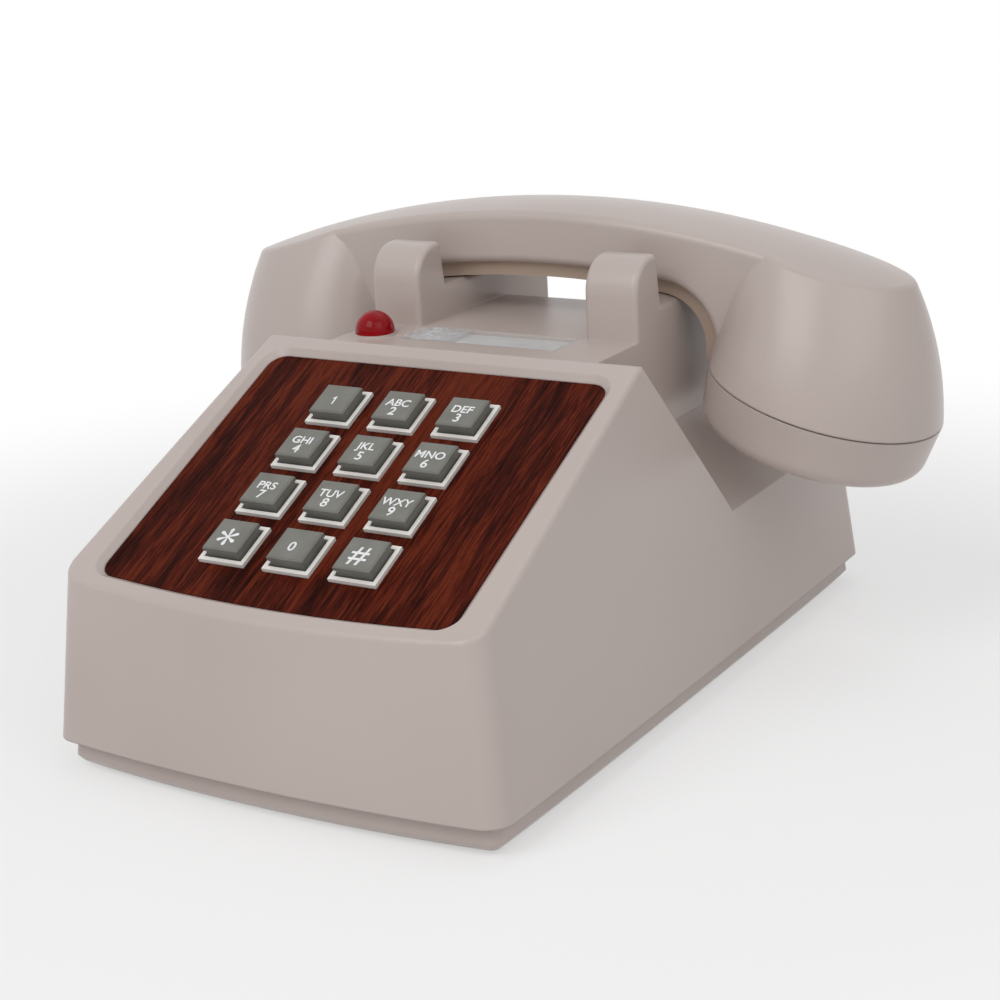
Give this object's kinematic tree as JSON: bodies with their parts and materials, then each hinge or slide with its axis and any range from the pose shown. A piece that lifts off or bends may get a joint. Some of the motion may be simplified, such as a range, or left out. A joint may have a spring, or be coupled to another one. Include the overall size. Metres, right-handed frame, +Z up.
{
  "type": "corded desk telephone",
  "caption": "Ash-beige corded desk telephone with a wood-grain push-button faceplate, message lamp and lift-off handset",
  "frame": {"origin": "on the table under the middle of the part's bounding box", "axes": "+X to the phone's right, +Y to its back, +Z up"},
  "size_m": [0.2116, 0.21, 0.1176],
  "materials": {
    "ash_plastic": "satin",
    "collar_plastic": "matte",
    "key_plastic": "semi-matte",
    "wood_grain": "satin",
    "red_lens": "gloss",
    "clear_window": "gloss",
    "paper_card": "matte",
    "foot_rubber": "matte",
    "black_plastic": "matte",
    "white_plastic": "satin",
    "steel": "brushed",
    "copper_coil": "satin",
    "board_green": "satin",
    "capsule_metal": "satin"
  },
  "bodies": {
    "base": {"housing": "ash_plastic", "base_pan": "ash_plastic", "keypad_frame": "collar_plastic", "faceplate": "wood_grain", "lamp_lens": "red_lens", "card_window": "clear_window", "lamp_emitter": "clear_window", "number_card": "paper_card", "rubber_feet": "foot_rubber", "keypad_mat": "foot_rubber", "hook_switch": "black_plastic", "line_jack": "black_plastic", "base_handset_jack": "black_plastic", "housing_screws": "steel", "keypad_screws": "steel", "board_screws": "steel", "bracket_screws": "steel", "gong_screws": "steel", "hook_pivot_pin": "steel", "hook_spring": "steel", "hook_bracket": "steel", "ringer_frame": "steel", "wheel_axle": "steel", "gong_left": "steel", "gong_right": "steel", "ringer_coil": "copper_coil", "keypad_board": "board_green", "main_board": "board_green", "board_parts": "board_green"},
    "handset": {"handset_shell": "ash_plastic", "grip_cover": "ash_plastic", "receiver_cap": "ash_plastic", "transmitter_cap": "ash_plastic", "receiver_capsule": "capsule_metal", "transmitter_capsule": "capsule_metal", "handset_jack": "black_plastic", "handset_ballast": "steel"},
    "key_1": {"key_1": "key_plastic"},
    "key_2": {"key_2": "key_plastic"},
    "key_3": {"key_3": "key_plastic"},
    "key_4": {"key_4": "key_plastic"},
    "key_5": {"key_5": "key_plastic"},
    "key_6": {"key_6": "key_plastic"},
    "key_7": {"key_7": "key_plastic"},
    "key_8": {"key_8": "key_plastic"},
    "key_9": {"key_9": "key_plastic"},
    "key_star": {"key_star": "key_plastic"},
    "key_0": {"key_0": "key_plastic"},
    "key_hash": {"key_hash": "key_plastic"},
    "hook_lever": {"hook_lever": "white_plastic"},
    "plunger_left": {"plunger_left": "white_plastic"},
    "plunger_right": {"plunger_right": "white_plastic"},
    "clapper": {"clapper": "steel"},
    "volume_wheel": {"volume_wheel": "black_plastic"}
  },
  "joints": [
    {"name": "key_1_press", "type": "slide", "parent": "base", "child": "key_1", "axis": [0, 0.4305, -0.9026], "range_m": [0, 0.0022], "stiffness_N_per_m": 250, "springref_m": -0.0008, "deforming": ["keypad_mat"]},
    {"name": "key_2_press", "type": "slide", "parent": "base", "child": "key_2", "axis": [0, 0.4305, -0.9026], "range_m": [0, 0.0022], "stiffness_N_per_m": 250, "springref_m": -0.0008, "deforming": ["keypad_mat"]},
    {"name": "key_3_press", "type": "slide", "parent": "base", "child": "key_3", "axis": [0, 0.4305, -0.9026], "range_m": [0, 0.0022], "stiffness_N_per_m": 250, "springref_m": -0.0008, "deforming": ["keypad_mat"]},
    {"name": "key_4_press", "type": "slide", "parent": "base", "child": "key_4", "axis": [0, 0.4305, -0.9026], "range_m": [0, 0.0022], "stiffness_N_per_m": 250, "springref_m": -0.0008, "deforming": ["keypad_mat"]},
    {"name": "key_5_press", "type": "slide", "parent": "base", "child": "key_5", "axis": [0, 0.4305, -0.9026], "range_m": [0, 0.0022], "stiffness_N_per_m": 250, "springref_m": -0.0008, "deforming": ["keypad_mat"]},
    {"name": "key_6_press", "type": "slide", "parent": "base", "child": "key_6", "axis": [0, 0.4305, -0.9026], "range_m": [0, 0.0022], "stiffness_N_per_m": 250, "springref_m": -0.0008, "deforming": ["keypad_mat"]},
    {"name": "key_7_press", "type": "slide", "parent": "base", "child": "key_7", "axis": [0, 0.4305, -0.9026], "range_m": [0, 0.0022], "stiffness_N_per_m": 250, "springref_m": -0.0008, "deforming": ["keypad_mat"]},
    {"name": "key_8_press", "type": "slide", "parent": "base", "child": "key_8", "axis": [0, 0.4305, -0.9026], "range_m": [0, 0.0022], "stiffness_N_per_m": 250, "springref_m": -0.0008, "deforming": ["keypad_mat"]},
    {"name": "key_9_press", "type": "slide", "parent": "base", "child": "key_9", "axis": [0, 0.4305, -0.9026], "range_m": [0, 0.0022], "stiffness_N_per_m": 250, "springref_m": -0.0008, "deforming": ["keypad_mat"]},
    {"name": "key_star_press", "type": "slide", "parent": "base", "child": "key_star", "axis": [0, 0.4305, -0.9026], "range_m": [0, 0.0022], "stiffness_N_per_m": 250, "springref_m": -0.0008, "deforming": ["keypad_mat"]},
    {"name": "key_0_press", "type": "slide", "parent": "base", "child": "key_0", "axis": [0, 0.4305, -0.9026], "range_m": [0, 0.0022], "stiffness_N_per_m": 250, "springref_m": -0.0008, "deforming": ["keypad_mat"]},
    {"name": "key_hash_press", "type": "slide", "parent": "base", "child": "key_hash", "axis": [0, 0.4305, -0.9026], "range_m": [0, 0.0022], "stiffness_N_per_m": 250, "springref_m": -0.0008, "deforming": ["keypad_mat"]},
    {"name": "handset_lift", "type": "slide", "parent": "base", "child": "handset", "axis": [0, 0, 1], "range_m": [0, 0.12]},
    {"name": "plunger_left_rise", "type": "slide", "parent": "base", "child": "plunger_left", "axis": [0, 0, 1], "range_m": [0, 0.006]},
    {"name": "plunger_right_rise", "type": "slide", "parent": "base", "child": "plunger_right", "axis": [0, 0, 1], "range_m": [0, 0.006]},
    {"name": "hook_lever_turn", "type": "hinge", "parent": "base", "child": "hook_lever", "pos_m": [0, 0.0219, 0.0608], "axis": [1, 0, 0], "range_deg": [0, 11.6], "deforming": ["hook_spring"]},
    {"name": "clapper_swing", "type": "hinge", "parent": "base", "child": "clapper", "pos_m": [0, 0.058, 0.02025], "axis": [0, 0, 1], "range_deg": [-6, 6], "stiffness_Nm_per_rad": 0.002},
    {"name": "volume_wheel_turn", "type": "hinge", "parent": "base", "child": "volume_wheel", "pos_m": [0.044, 0.026, 0.0119], "axis": [1, 0, 0], "range_deg": [-60, 60]}
  ],
  "couplings": [
    {"joint": "plunger_left_rise", "follows": "handset_lift", "ratio": 0.05},
    {"joint": "plunger_right_rise", "follows": "handset_lift", "ratio": 0.05},
    {"joint": "hook_lever_turn", "follows": "handset_lift", "rad_per_m": 1.67}
  ]
}
